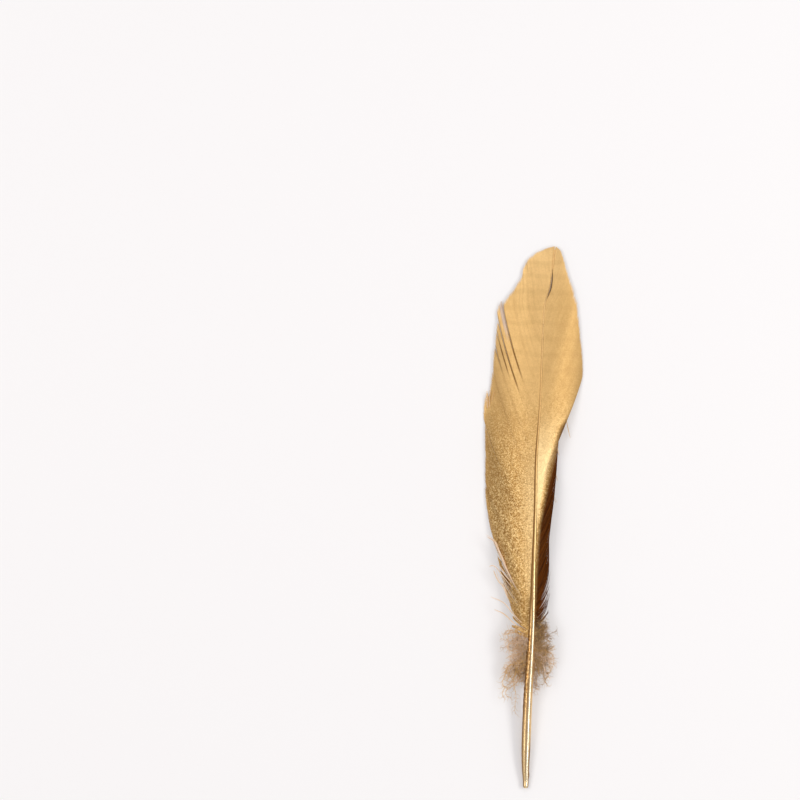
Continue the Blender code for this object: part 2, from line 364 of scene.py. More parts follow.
# %% A material from its recipe
def new_material(name, looks, recipe):
    """A material with plain looks, and over them the outputs that its recipe gives for sockets."""
    material = bpy.data.materials.new(name)
    material.use_nodes = True
    tree = material.node_tree
    shader = tree.nodes["Principled BSDF"]
    set_looks(shader, looks)
    for socket, output in recipe(tree).items():
        tree.links.new(output, shader.inputs[socket])
    print("material", name, "has", len(tree.nodes), "nodes")
    return material

# %% [markdown]
# Gold paint from a can is full of flakes that each lie at their own slant and mirror another part of
# the room. A picture of flakes would do from one side only. Here each flake is a cell of a Voronoi
# pattern in space: its random colour picks a darker or brighter gold, painted shade and glint for what
# the flake mirrors, and the same colour tilts the surface a little.

# %% Flakes of paint
FLAKES_PER_METRE = (3000, 5600, 12000)       # large, middle and small ones
FLAKE_SHARES = (0.38, 0.28)                  # of the middle and of the small ones in the mixture
OUTLINE_NOISE = (1.6, 0.6)                   # how fine it is and how far it strays, in flakes
GREY = (0.5, 0.5, 0.5)                       # the middle of a random colour


def flakes(tree, where, per_metre):
    """A random colour for each flake. Noise in the place that is looked up makes them ragged."""
    fineness, stray = OUTLINE_NOISE
    noise = node(tree, "TexNoise", {"Vector": where, "Scale": fineness * per_metre, "Detail": 1.0})
    centred = vector(tree, "SUBTRACT", noise.outputs["Color"], GREY)
    moved = vector(tree, "MULTIPLY_ADD", centred, (stray / per_metre,) * 3, where)
    cells = {"Vector": moved, "Scale": per_metre, "Randomness": 1.0}
    return node(tree, "TexVoronoi", cells).outputs["Color"]


def mixed_flakes(tree, where):
    mixture, *finer = (flakes(tree, where, per_metre) for per_metre in FLAKES_PER_METRE)
    for share, kind in zip(FLAKE_SHARES, finer):
        mixture = blend(tree, share, mixture, kind)
    return mixture


def tilted_normal(tree, random_colour, amount, smooth_normal):
    """The surface's direction, turned a little at random for each flake."""
    tilt = vector(tree, "MULTIPLY", vector(tree, "SUBTRACT", random_colour, GREY), amount)
    return vector(tree, "NORMALIZE", vector(tree, "ADD", smooth_normal, tilt))


print("flakes are about", [round(1000 / per_metre, 2) for per_metre in FLAKES_PER_METRE], "mm across")

# %% [markdown]
# The paint was sprayed on: a thin, even, satin gold near the tip, and thicker and grainier towards
# the quill, where flakes catch the light one by one; their glints are painted in as brighter and darker
# flakes. Under it the barbs still show as faint streaks, and the bars that a feather gets from each day
# of growth as bands across the upper vane. Where the narrow vane turns down, dark brown is painted in
# as shade, brown shade is painted beside the splits, and a pale gold band along the narrow vane's shaft
# is a painted highlight.
#
# All of this hangs on numbers in the mesh (`place` along the feather, `share` of the barb's length,
# the barb's own number and tone), so it follows the barbs and stays put from every side.

# %% Gold on the vanes
GOLD_ALONG = (
    (0.28, 0.58, 0.330, 0.098), (0.42, 0.62, 0.365, 0.120), (0.58, 0.575, 0.340, 0.115),
    (0.72, 0.70, 0.450, 0.182), (0.90, 0.77, 0.505, 0.210), (0.98, 0.90, 0.610, 0.270),
)
# PALE_GOLD and DIM_GOLD: a painted highlight and painted shade on the narrow vane; on the wide one paler
# gold by the shaft, darker further out, and painted shade by the shaft at the foot.
PALE_GOLD, DIM_GOLD, CLOUD_GOLD = (0.92, 0.70, 0.37, 1), (0.46, 0.275, 0.095, 1), (0.40, 0.225, 0.065, 1)
# Flake colours: painted glints and painted shade for what single flakes mirror.
FLAKE_GLINT_GOLD, FLAKE_SHADE_BROWN = (1.0, 0.76, 0.38, 1), (0.25, 0.115, 0.028, 1)
DARK_BARB, GROWTH_BAR = (0.40, 0.22, 0.075, 1), (0.52, 0.31, 0.115, 1)
# The second colour below is painted shade beside splits, at the slit and by the shaft at the foot.
UNPAINTED, SHADE_BROWN = (0.50, 0.41, 0.36, 1), (0.10, 0.035, 0.006, 1)
# Dark browns painted as shade where the narrow vane rolls down.
ROLL_SHADE_BROWNS = (0.037, 0.0055, 0.0004, 1), (0.104, 0.025, 0.0020, 1)
UNDERSIDE = (0.56, 0.43, 0.30, 1)
FINE_STREAKS = (1.6, 0.60, 3.0, 0.7)
BARB_STREAKS = (
    # steps along a barb, then scale, detail and roughness; noise without and with colour, its share
    ((1.6, 0.13, 2.0, 0.6), 0.52, 0.34, 0.75, (0.34, 0.175, 0.048, 1)),
    (FINE_STREAKS, 0.48, 0.32, 0.60, (0.24, 0.115, 0.030, 1)),
    ((34.0, 0.45, 2.0, 0.5), 0.40, 0.30, 0.85, (0.20, 0.085, 0.020, 1)),
)

# %% Layers of the vanes' gold
def barb_noise(tree, steps, *kind):
    """Noise in streaks along the barbs, new from one barb to the next."""
    along = times(tree, value_of(tree, "share"), steps)
    place = node(tree, "CombineXYZ", {"X": value_of(tree, "barb"), "Y": along}).outputs[0]
    return grain(tree, place, *kind)


def sprayed_gold(tree, where, coarse, flake):
    """The gold's colour along the feather: clouds, streaks, flakes with painted glints, dim and pale
    gold.
    """
    place, pale = value_of(tree, "place"), value_of(tree, "pale")
    cloud_share = spread(tree, place, 0.62, 0.78, 0.32, 0.14)
    clouds = spread(tree, grain(tree, where, 260, 3.0, 0.6), 0.42, 0.70, 0.0, cloud_share)
    colour = blend(tree, clouds, colours_along(tree, place, GOLD_ALONG), CLOUD_GOLD)
    streaked = times(tree, coarse, spread(tree, value_of(tree, "share"), 0.12, 0.45))
    for kind, low, high, strength, brown in BARB_STREAKS:
        streaks = spread(tree, barb_noise(tree, *kind), low, high, 0.0, strength)
        colour = blend(tree, times(tree, streaks, streaked), colour, brown)
    # Painted shade and glints of single flakes, strongest where the paint is coarse.
    dark = times(tree, spread(tree, flake, 0.44, 0.26, 0.0, 0.88), coarse)
    bright = times(tree, spread(tree, flake, 0.56, 0.76, 0.0, 0.84), coarse)
    # Dim and pale gold carry the painted shade and the painted highlight of the vanes.
    return painted_over(
        tree, colour, (value_of(tree, "dim"), DIM_GOLD), (pale, PALE_GOLD),
        (times(tree, dark, calculate(tree, "SUBTRACT", 1.0, pale)), FLAKE_SHADE_BROWN),
        (bright, FLAKE_GLINT_GOLD), (times(tree, value_of(tree, "dark_barb"), 0.10), DARK_BARB),
    )


def marks_and_bare_parts(tree, colour, where, smooth_normal):
    """Over the gold: growth bars, a bare strip, painted shade by the splits and on the roll, the
    underside.
    """
    roll_shade = value_of(tree, "roll_shade")
    bars = node(tree, "TexWave", {
        "Vector": where, "Scale": 58.0, "Distortion": 3.4, "Detail": 2.0, "Detail Scale": 0.9,
    }, bands_direction="Y").outputs["Fac"]
    upper = spread(tree, value_of(tree, "place"), 0.66, 0.80, 0.0, 0.19)
    roll_streaks = spread(tree, barb_noise(tree, *FINE_STREAKS), 0.40, 0.62)
    facing = node(tree, "SeparateXYZ", {0: smooth_normal}).outputs["Z"]
    under = spread(tree, facing, 0.0, -0.3, 0.0, 0.75)
    return painted_over(
        tree, colour, (times(tree, spread(tree, bars, 0.55, 1.0), upper), GROWTH_BAR),
        (value_of(tree, "bare"), UNPAINTED), (value_of(tree, "shaded"), SHADE_BROWN),
        (roll_shade, blend(tree, roll_streaks, *ROLL_SHADE_BROWNS)),
        (times(tree, under, spread(tree, roll_shade, 0.0, 0.5, 1.0, 0.15)), UNDERSIDE),
    )

# %% The vanes' material
def vane_paint(tree):
    where = object_place(tree)
    smooth_normal = node(tree, "NewGeometry", {}).outputs["Normal"]
    roll_shade = value_of(tree, "roll_shade")
    near_edge = spread(tree, value_of(tree, "share"), 0.86, 0.97, 1.0, 0.45)
    coarse = times(tree, spread(tree, value_of(tree, "place"), 0.78, 0.48, 0.11, 1.0), near_edge)
    random_colour = mixed_flakes(tree, where)
    flake = node(tree, "SeparateColor", {0: random_colour}).outputs[0]
    gold = sprayed_gold(tree, where, coarse, flake)
    flaky_normal = tilted_normal(tree, random_colour, times(tree, coarse, 0.18), smooth_normal)
    relief = grain(tree, where, 4200, 2.0, 0.6)
    dull = times(tree, roll_shade, 0.4)
    return {
        "Base Color": marks_and_bare_parts(tree, gold, where, smooth_normal),
        "Roughness": calculate(tree, "ADD", spread(tree, flake, 0.0, 1.0, 0.50, 0.36), dull),
        "Metallic": spread(tree, roll_shade, 0.0, 0.7, 0.40, 0.0),
        "Normal": bumped(tree, relief, 0.20, 0.00008, Normal=flaky_normal),
    }


# An IOR of 1 because the gold itself shines, and no clear lacquer does.
vane_gold = new_material("gold_on_barbs", {"Metallic": 0.40, "Roughness": 0.45, "IOR": 1.0}, vane_paint)

# %% [markdown]
# On the bare quill and the shaft the paint lies on polished horn, so it is glossier, with fine
# scratches that run lengthwise and pits where the sheath was scraped off. A lighter gold line is a
# painted highlight, and brown is painted in as shade along the groove on top, at the sides, beneath
# and beside the highlight; a small peel near the end is brown of its own. A thin film with a warm
# tint lies over it and mirrors the lamps in gold.

# %% Gold on quill and shaft
QUILL_LOOKS = {
    "Metallic": 0.80, "Roughness": 0.26, "IOR": 1.15, "Specular Tint": (1.0, 0.86, 0.62, 1),
}
QUILL_GOLD_ALONG = (
    (0.02, 0.93, 0.69, 0.36), (0.22, 0.86, 0.56, 0.25), (0.45, 0.70, 0.44, 0.17),
    (0.62, 0.66, 0.40, 0.155), (0.75, 0.68, 0.43, 0.175), (0.95, 0.80, 0.56, 0.27),
)
HIGHLIGHT_GOLD_ALONG = (
    (0.0, 1.0, 0.93, 0.72), (0.28, 1.0, 0.91, 0.68), (0.40, 0.95, 0.74, 0.36), (0.75, 0.86, 0.60, 0.27),
)
SCRATCH_BROWN, PIT_BROWN = (0.34, 0.15, 0.03, 1), (0.22, 0.09, 0.015, 1)
CRUST_BROWN, SHADE_AND_PEEL_BROWN = (0.30, 0.12, 0.02, 1), (0.17, 0.068, 0.013, 1)


def quill_paint(tree):
    where = object_place(tree)
    place, stain = value_of(tree, "place"), value_of(tree, "stain")
    # The painted highlight: a lighter gold line along quill and shaft.
    bright = colours_along(tree, place, HIGHLIGHT_GOLD_ALONG)
    colour = blend(tree, value_of(tree, "lit"), colours_along(tree, place, QUILL_GOLD_ALONG), bright)
    lengthwise = node(tree, "CombineXYZ", {
        "X": times(tree, value_of(tree, "around"), 16.0), "Y": times(tree, place, 30.0),
    }).outputs[0]
    scratches = grain(tree, lengthwise, 1.0, 5.0, 0.7)
    pits = grain(tree, where, 2200, 2.0, 0.6)
    crumbs = spread(tree, grain(tree, where, 1500, 3.0, 0.7), 0.56, 0.42)
    # Scratches, pits and crumbs are the quill's own; the last layer is painted shade and the peel's
    # brown.
    colour = painted_over(
        tree, colour, (spread(tree, scratches, 0.50, 0.34, 0.0, 0.35), SCRATCH_BROWN),
        (spread(tree, pits, 0.42, 0.30, 0.0, 0.6), PIT_BROWN),
        (times(tree, crumbs, value_of(tree, "crust")), CRUST_BROWN), (stain, SHADE_AND_PEEL_BROWN),
    )
    dull = spread(tree, place, 0.35, 0.60, 0.0, 0.20)
    relief = calculate(tree, "ADD", scratches, times(tree, pits, 0.6))
    return {
        "Base Color": colour,
        "Metallic": spread(tree, stain, 0.0, 0.8, 0.80, 0.15),
        "Roughness": calculate(tree, "ADD", spread(tree, scratches, 0.30, 0.70, 0.30, 0.17), dull),
        "Normal": bumped(tree, relief, 0.35, 0.0001),
    }


quill_gold = new_material("gold_on_quill", QUILL_LOOKS, quill_paint)

# %% [markdown]
# The down stayed almost bare: the spray only dusted it, and its own colour, a pinkish grey that
# turns brown towards the quill, shows between specks of gold.

# %% Dusted down
DOWN_TONES = (
    (0.0, 0.15, 0.07, 0.025), (0.35, 0.46, 0.28, 0.13), (0.7, 0.69, 0.48, 0.30), (1.0, 0.94, 0.77, 0.64),
)
DOWN_ROOT_BROWN, DUST_GOLD = (0.32, 0.18, 0.07, 1), (0.84, 0.54, 0.20, 1)


def down_paint(tree):
    dust = grain(tree, object_place(tree), 1300, 3.0, 0.6)
    specks = spread(tree, dust, 0.54, 0.64, 0.0, 0.85)
    at_root = spread(tree, value_of(tree, "share"), 0.35, 0.0, 0.0, 0.5)
    gold_share = calculate(tree, "MAXIMUM", specks, value_of(tree, "gilt"))
    bare = colours_along(tree, value_of(tree, "tone"), DOWN_TONES)
    return {
        "Base Color": painted_over(tree, bare, (at_root, DOWN_ROOT_BROWN), (gold_share, DUST_GOLD)),
        "Roughness": spread(tree, dust, 0.45, 0.65, 0.85, 0.50),
        "Normal": bumped(tree, dust, 0.2, 0.00005),
    }


down_grey = new_material("dusted_down", {"Metallic": 0.0, "Roughness": 0.75}, down_paint)

# %% [markdown]
# Quill and shaft are one piece of horn that tapers from three millimetres to a hair. It could be a
# bevelled curve, but the real one isn't round: a shallow groove runs down the top of the quill and
# its cut end is worn to a blunt rim around a small hole. So its rings are made one by one and pushed
# in where the groove is. A turn of 0 is the side of the narrow vane, and half of pi is the top.

# %% Quill and shaft
chance = np.random.default_rng(11)  # the same random numbers in every run
SHAFT_STEPS = 300
SHAFT_AROUND = 32
GROOVE_TURN, GROOVE_WIDTH = 0.51 * math.pi, 0.13       # just left of the top
GROOVE_DEPTH = 0.12                                    # share of the radius
HIGHLIGHT_TURN, HIGHLIGHT_WIDTH = 0.37 * math.pi, 0.36       # the painted highlight, a lighter gold line
# A thin dark line painted as shade beside the highlight.
SHADE_LINE_TURN, SHADE_LINE_WIDTH = 0.275 * math.pi, 0.14
END_ROUNDING = 0.0012
END_STRAIGHT = 0.002               # the quill's first rings stand upright
HOLE_DEPTH = 0.0010
HOLE_SHARE = 0.42                  # of the radius
CRUST_ROUGHNESS = 0.09             # scraped sheath on the quill's lower half, share of the radius
PEEL_PLACE, PEEL_LENGTH, PEEL_TURN, PEEL_HEIGHT = 0.0046, 0.0004, 0.3, 0.00050

# %% Places and directions of the shaft's rings
def shaft_places():
    """Places and shares of the radius of the rings: out of the hole, over its rim, to the tip."""
    turn = np.linspace(0, math.pi / 2, 8)
    places = [HOLE_DEPTH, HOLE_DEPTH * 0.6] + list(END_ROUNDING * (1 - np.cos(turn)))
    shares = [HOLE_SHARE * 0.4, HOLE_SHARE * 0.8] + list(HOLE_SHARE + (1 - HOLE_SHARE) * np.sin(turn))
    along = END_ROUNDING + (SHAFT_END - END_ROUNDING) * np.linspace(0, 1, SHAFT_STEPS) ** 0.9
    return np.array(places + list(along[1:])), np.array(shares + [1.0] * (SHAFT_STEPS - 1))


def shaft_directions(places):
    """Sideways and upward directions of the rings, square to the shaft."""
    even = np.linspace(0, SHAFT_END, 400)
    line = in_frame(even, at(SHAFT_SIDEWAYS, even), at(SHAFT_HEIGHT, even))
    slopes = unit(np.gradient(line, axis=0))
    tangent = np.stack([np.interp(places, even, slopes[:, k]) for k in range(3)], axis=-1)
    tangent[places < END_STRAIGHT] = (0, 1, 0)
    across = unit(np.cross(tangent, (0, 0, 1)))
    return across, np.cross(across, tangent)

# %% Painted shade of the shaft, and its peel
def shaft_shade_and_peel(place, turn, groove, peel):
    """How brown the paint is at each point, 0 to 1: the strongest of its painted shades, or the peel."""
    side = np.cos(turn)            # 1 towards the narrow vane, -1 towards the wide one
    on_quill = stretch(place, 0.012, 0.022, 0.050, 0.062)
    edges = smooth_step(0.62, 0.80, np.abs(side)) * (1 - on_quill * (side > 0))
    # Painted shade in the groove, at both edges, in a thin line beside the highlight, beneath, in a line
    # on the wide vane's side of the shaft, darker on the other side of the upper shaft and at the slit;
    # last the peel's own brown.
    darkenings = (
        0.95 * groove * smooth_step(0.075, 0.060, place),
        0.95 * edges * (1 - 0.85 * smooth_step(0.110, 0.150, place)),
        0.8 * on_quill * bell(turn, SHADE_LINE_TURN, SHADE_LINE_WIDTH),
        0.35 * smooth_step(0.0, -0.6, np.sin(turn)),
        0.95 * stretch(side, -0.85, -0.60, -0.30, -0.10) * stretch(place, 0.055, 0.070, 0.115, 0.140),
        0.6 * smooth_step(0.45, 0.75, side) * stretch(place, 0.125, 0.145, 0.165, 0.175),
        smooth_step(-0.2, 0.3, side) * stretch(place, 0.1700, 0.1725, 0.1800, 0.1825),
        0.8 * peel,
    )
    return np.max(np.broadcast_arrays(*darkenings), axis=0)

# %% The shaft itself
def quill_and_shaft():
    """Rings of the quill and shaft, and what its paint reads at their points."""
    places, shares = shaft_places()
    across, upward = shaft_directions(places)
    middle = in_frame(places, at(SHAFT_SIDEWAYS, places), at(SHAFT_HEIGHT, places))
    place = places[:, None]
    turn = (np.arange(SHAFT_AROUND) * 2 * math.pi / SHAFT_AROUND)[None]
    fade = smooth_step(0.0015, 0.006, place) * (1 - 0.6 * smooth_step(0.06, 0.12, place))
    groove = fade * bell(turn, GROOVE_TURN, GROOVE_WIDTH)
    radius = at(SHAFT_RADIUS, place) * shares[:, None] * (1 - GROOVE_DEPTH * groove)
    crust = stretch(place, 0.022, 0.034, 0.052, 0.060) * smooth_step(0.2, -0.5, np.cos(turn))
    radius = radius * (1 + CRUST_ROUGHNESS * crust * chance.uniform(-1, 1, crust.shape))
    from_right = np.minimum(turn, 2 * math.pi - turn)
    peel = bell(place, PEEL_PLACE, PEEL_LENGTH) * bell(from_right, 0, PEEL_TURN)
    radius = (radius + PEEL_HEIGHT * peel)[..., None]
    circle = np.cos(turn)[..., None] * across[:, None] + np.sin(turn)[..., None] * upward[:, None]
    rings = middle[:, None] + circle * radius
    values = {
        "lit": bell(turn, HIGHLIGHT_TURN, HIGHLIGHT_WIDTH) * (0.85 - 0.6 * smooth_step(0.085, 0.13, place)),
        "place": place / LENGTH,
        "around": np.abs(turn / math.pi - 1),
        "stain": shaft_shade_and_peel(place, turn, groove, peel),
        "crust": crust,
    }
    return rings[None, :, ::-1], {name: value[None, :, ::-1] for name, value in values.items()}


feather_piece("quill_and_shaft", *quill_and_shaft(), quill_gold, "gilded_quill", sharp_angle=50)

# %% [markdown]
# Each barb leaves the shaft sideways and bends towards the tip. Three curves say how: how far it
# sweeps towards the tip, where the outline of the vane runs at the place that it reaches, and how
# low the edge of the vane lies there. The narrow vane also curls, so that in its lower half it turns
# down like a quarter of a pipe. With these curves any point of any barb is one formula.
#
# A vane is also parted into locks, bundles of barbs that hold together, and split here and there.

# %% The wide vane
# outline, edge_height and curl are read where a barb's tip lies, sweep at its root.
# locks: root places between two locks. long_locks: how much further such a lock reaches.
# splits: root place, share of the barb where it opens, how wide it spreads, how far that is felt.
# nicks_from: above this place the locks part a little at the edge.
# calm: from the first place to the second the barbs come to lie more evenly, and stay so above.
WIDE_VANE = {
    "name": "wide_vane",
    "side": -1,
    "outline": (
        (0.054, -0.0083), (0.061, -0.0080), (0.070, -0.0112), (0.087, -0.0162), (0.100, -0.0192),
        (0.118, -0.0204), (0.130, -0.0209), (0.142, -0.0194), (0.153, -0.0190), (0.164, -0.0182),
        (0.169, -0.0167), (0.173, -0.0141), (0.177, -0.0117), (0.1795, -0.0106), (0.182, -0.0103),
        (0.185, -0.0088), (0.1873, -0.0062), (0.1890, -0.0031), (0.190, 0.0003),
    ),
    "edge_height": (
        (0.054, 0.0040), (0.070, 0.0022), (0.090, 0.00060), (0.130, 0.00050), (0.150, 0.0008),
        (0.170, 0.0010), (0.190, 0.0007),
    ),
    "curl": ((0.054, 0.2), (0.110, 0.1), (0.190, 0.0)),
    "sweep": (
        (0.0525, 0.0014), (0.0565, 0.0080), (0.0598, 0.0145), (0.0611, 0.0185), (0.0614, 0.0240),
        (0.062, 0.0245), (0.070, 0.0275), (0.080, 0.0310), (0.100, 0.0370), (0.123, 0.0405),
        (0.128, 0.0407), (0.140, 0.0370), (0.150, 0.0315), (0.160, 0.0255), (0.170, 0.0178),
        (0.180, 0.0095), (0.187, 0.0030), (0.1888, 0.0009),
    ),
    "locks": (
        0.0525, 0.0565, 0.0612, 0.069, 0.076, 0.084, 0.092, 0.0995, 0.107, 0.115, 0.123, 0.128,
        0.136, 0.144, 0.153, 0.163, 0.174, 0.1886,
    ),
    "long_locks": {0.092: 0.05, 0.123: 0.04},
    "splits": (
        (0.0612, 0.55, 0.0005, 0.0012), (0.1150, 0.80, 0.0003, 0.0014),
        (0.1230, 0.46, 0.00030, 0.0012), (0.1280, 0.44, 0.00032, 0.0012),
        (0.1195, 0.66, 0.00018, 0.0010), (0.1565, 0.90, 0.0003, 0.0010),
    ),
    "nicks_from": 0.05,
    "calm": (0.115, 0.150),
}

# %% The narrow vane
NARROW_VANE = {
    "name": "narrow_vane",
    "side": 1,
    "outline": (
        (0.060, 0.0046), (0.080, 0.0041), (0.089, 0.0037), (0.100, 0.0042), (0.108, 0.0047),
        (0.117, 0.0051), (0.124, 0.0053), (0.129, 0.0057), (0.1335, 0.0072), (0.139, 0.0101),
        (0.1455, 0.0125), (0.158, 0.0111), (0.1725, 0.0085), (0.181, 0.0052),
        (0.1885, 0.0025), (0.190, 0.0007),
    ),
    "edge_height": (
        (0.060, 0.0030), (0.075, 0.0012), (0.090, 0.00060), (0.130, 0.00050), (0.146, 0.00034),
        (0.160, 0.0009), (0.175, 0.0013), (0.1865, 0.0011), (0.190, 0.0009),
    ),
    "curl": (
        (0.060, 0.7), (0.080, 1.0), (0.115, 1.0), (0.125, 0.8), (0.136, 0.45), (0.147, 0.12),
        (0.160, 0.04), (0.190, 0.0),
    ),
    "sweep": (
        (0.056, 0.0070), (0.062, 0.0120), (0.070, 0.0180), (0.080, 0.0230), (0.100, 0.0290),
        (0.125, 0.0330), (0.140, 0.0320), (0.150, 0.0280), (0.160, 0.0225), (0.170, 0.0165),
        (0.180, 0.0090), (0.187, 0.0030), (0.1888, 0.0009),
    ),
    "locks": (
        0.056, 0.062, 0.069, 0.077, 0.0845, 0.0895, 0.0955, 0.1015, 0.109, 0.117, 0.126, 0.134,
        0.142, 0.151, 0.161, 0.172, 0.1886,
    ),
    "long_locks": {0.0845: 0.03, 0.0955: 0.06},
    "splits": ((0.0895, 0.92, 0.0002, 0.0008), (0.1000, 0.90, 0.0005, 0.0008)),
    "nicks_from": 0.115,
    "calm": (0.040, 0.050),
}

# %% Any point of any barb
BARB_BEND_ALONG = 0.38
BARB_BEND_SIDEWAYS = 0.56
ROOT_OVERLAP = 0.00022             # how far the barbs reach under the shaft


def cross_section(share, curl):
    """How far out and down a vane is at a share of its width, from a slope to a quarter round."""
    turn = share * math.pi / 2
    outward = (1 - curl) * share + curl * np.sin(turn)
    downward = (1 - curl) * share ** 1.5 + curl * (1 - np.cos(turn))
    return outward, np.minimum(downward, 1)


def barb_points(vane, roots, shares):
    """Points at shares of the lengths of the barbs whose roots are at places on the shaft."""
    sweep = at(vane["sweep"], roots)
    tips = roots + sweep
    along = 2 * shares * (1 - shares) * BARB_BEND_ALONG + shares ** 2
    across = 2 * shares * (1 - shares) * BARB_BEND_SIDEWAYS + shares ** 2
    places = roots + sweep * along
    outward, downward = cross_section(across, at(vane["curl"], tips))
    start = -vane["side"] * ROOT_OVERLAP
    width = at(vane["outline"], tips) - at(SHAFT_SIDEWAYS, tips) - start
    drop = at(SHAFT_HEIGHT, tips) - at(vane["edge_height"], tips)
    sideways = at(SHAFT_SIDEWAYS, places) + start + width * outward
    return in_frame(places, sideways, at(SHAFT_HEIGHT, places) - drop * downward)


halfway = barb_points(WIDE_VANE, np.array([0.10]), np.array([0.5]))[0]
print("middle of the wide vane's barb at 100 mm:", np.round(1000 * halfway, 1), "mm")

# %% [markdown]
# A barb is a flat strip with a low ridge, its own little shaft, and its edges overlap those of its
# neighbours like roof tiles. The strips are laid from root to tip of the formula above, edge by edge,
# so together they close the vane without a hole.
#
# Splits are made by sliding the barbs on both sides of one apart, least at the root and most at the
# edge, and less the further a barb lies from the split. Small random differences in height, length
# and tone keep the vane from looking ruled. At the foot they are large, and the ends are frayed.

# %% Sizes of the barbs
BARB_PITCH = 0.00045
BARB_STEPS = 30
OVERLAP = 1.30                     # a barb's width, in pitches
RIDGE = 0.07                       # heights in a barb's section, as shares of its width
KEEL = 0.14
TILE_TILT = 0.05
LOCK_RISE = 0.00008                # a lock's upper barb lies this much higher than its lower one
ROOT_LIFT, TIP_ROOT_LIFT = 0.55, 0.7    # how high barbs start, as shares of the shaft's radius
CORNER_ROUNDING = 0.010
NICK = (0.91, 0.00012, 0.0006)     # the small split at the edge between two locks
# Root places of the barbs with loose, uneven ends, and of the ragged ones at the wide vane's foot.
FRAYED_FROM, FRAYED_FULL, FRAYED_TO, WHOLE_FROM = 0.0585, 0.0605, 0.0625, 0.0655
RAGGED_TO, NEAT_FROM = 0.0530, 0.0575
# How far single barbs differ: in length (shares), in where they lie along the shaft, and in height.
LENGTH_SPREAD, FRAYED_LENGTHS, RAGGED_LENGTHS = 0.0035, 0.10, 0.22
PLACE_SPREAD, FRAYED_PLACES, RAGGED_PLACES = 0.00002, 0.0007, 0.0005
HEIGHT_SPREAD, FRAYED_HEIGHT, FRAYED_HEIGHTS = 0.00003, 0.0001, 0.0003
# Where the narrow vane let go of the shaft: the gap's ends and its width.
SLIT_LOW, SLIT_HIGH, SLIT_WIDTH = 0.1690, 0.1828, 0.0009

# %% Barbs, locks and splits
def barb_family(vane):
    """Root, place in its lock (-1 to 1) and extra reach of every barb of a vane, as columns."""
    rows = []
    for low, high in zip(vane["locks"], vane["locks"][1:]):
        count = round((high - low) / BARB_PITCH)
        for t in (np.arange(count) + 0.5) / count:
            rows.append((low + (high - low) * t, 2 * t - 1, vane["long_locks"].get(low, 0)))
    return np.array(rows).T[..., None]


def slides(vane, roots, shares):
    """How far along the shaft each point of each barb is slid by the splits."""
    nicks = [(root, *NICK) for root in vane["locks"][1:-1] if root > vane["nicks_from"]]
    slide = np.zeros((len(roots), len(shares)))
    for root, depth, width, felt in list(vane["splits"]) + nicks:
        away = roots - root
        opening = smooth_step(depth, 1.15, shares)
        slide += width * opening * np.sign(away) * np.exp(-np.abs(away) / felt)
    return slide


def wander(count, size):
    """A number for each barb that drifts slowly from one barb to the next, about as large as size."""
    steps = chance.normal(0, 1, count + 8)
    return (size * np.convolve(steps, np.hanning(11)[1:-1], "valid")[:count] / 1.7)[:, None]


def looseness(vane, roots):
    """How frayed and how ragged each barb is, from 0 to 1."""
    frayed = smooth_step(WHOLE_FROM, FRAYED_TO, roots)
    ragged = np.zeros(roots.shape)
    if vane["side"] < 0:
        frayed *= 0.12 + 0.88 * smooth_step(FRAYED_FROM, FRAYED_FULL, roots)
        ragged = smooth_step(NEAT_FROM, RAGGED_TO, roots)
    return frayed, ragged

# %% Rings of the barbs
def barb_edges(vane, roots, locks, reach, shares):
    """Lower edge, middle line and upper edge of every barb."""
    frayed, ragged = looseness(vane, roots)
    lengths = reach - CORNER_ROUNDING * locks ** 4 + chance.normal(0, LENGTH_SPREAD, roots.shape)
    lengths -= frayed * np.abs(chance.normal(0, FRAYED_LENGTHS, roots.shape))
    slide = slides(vane, roots, shares) + chance.normal(0, PLACE_SPREAD, roots.shape)
    slide += frayed * chance.normal(0, FRAYED_PLACES, roots.shape) * shares ** 2.5
    slide += ragged * chance.normal(0, RAGGED_PLACES, roots.shape) * shares ** 1.5
    lengths -= ragged * np.abs(chance.normal(0, RAGGED_LENGTHS, roots.shape))
    stretched = shares * (1 + lengths * shares ** 2)
    taper = np.clip((1 - shares) / 0.04, 0.12, 1) ** 0.7
    narrowing = 1 - (0.45 * frayed + 0.5 * ragged) * shares
    half = 0.5 * OVERLAP * BARB_PITCH * taper * narrowing
    return [barb_points(vane, roots + slide + move, stretched) for move in (-half, 0, half)]


def barb_rises(vane, roots, locks, shares):
    """How high every barb lies above the vane's surface."""
    frayed, _ = looseness(vane, roots)
    calm = 1 - 0.8 * smooth_step(*vane["calm"], roots)
    uneven = calm * (LOCK_RISE * 0.5 * locks + wander(len(roots), HEIGHT_SPREAD))
    rise = uneven * np.minimum(1, shares * 3)
    rise += frayed * chance.normal(FRAYED_HEIGHT, FRAYED_HEIGHTS, roots.shape) * shares ** 2
    cover = ROOT_LIFT + TIP_ROOT_LIFT * smooth_step(0.155, 0.178, roots)
    return rise + cover * at(SHAFT_RADIUS, roots) * np.exp(-shares / 0.06)


def barb_rings(vane, roots, locks, reach, shares):
    """Four-sided rings along every barb: lower edge, keel, upper edge, ridge."""
    lower, middle, upper = barb_edges(vane, roots, locks, reach, shares)
    square = np.cross(unit(np.gradient(middle, axis=1)), upper - lower) * vane["side"]
    width = np.linalg.norm(square, axis=-1)
    rise = barb_rises(vane, roots, locks, shares)
    rings = np.stack([edge + unit(square) * height[..., None] for edge, height in (
        (lower, rise - TILE_TILT * width), (middle, rise - KEEL * width),
        (upper, rise + TILE_TILT * width), (middle, rise + RIDGE * width),
    )], axis=2)
    if vane["side"] > 0:
        along_slit = np.clip((roots - SLIT_LOW) / (SLIT_HIGH - SLIT_LOW), 0, 1)
        bulge = np.sin(math.pi * along_slit) ** 0.8
        rings[..., 0] += SLIT_WIDTH * (bulge * np.exp(-shares / 0.10))[..., None]
    return rings


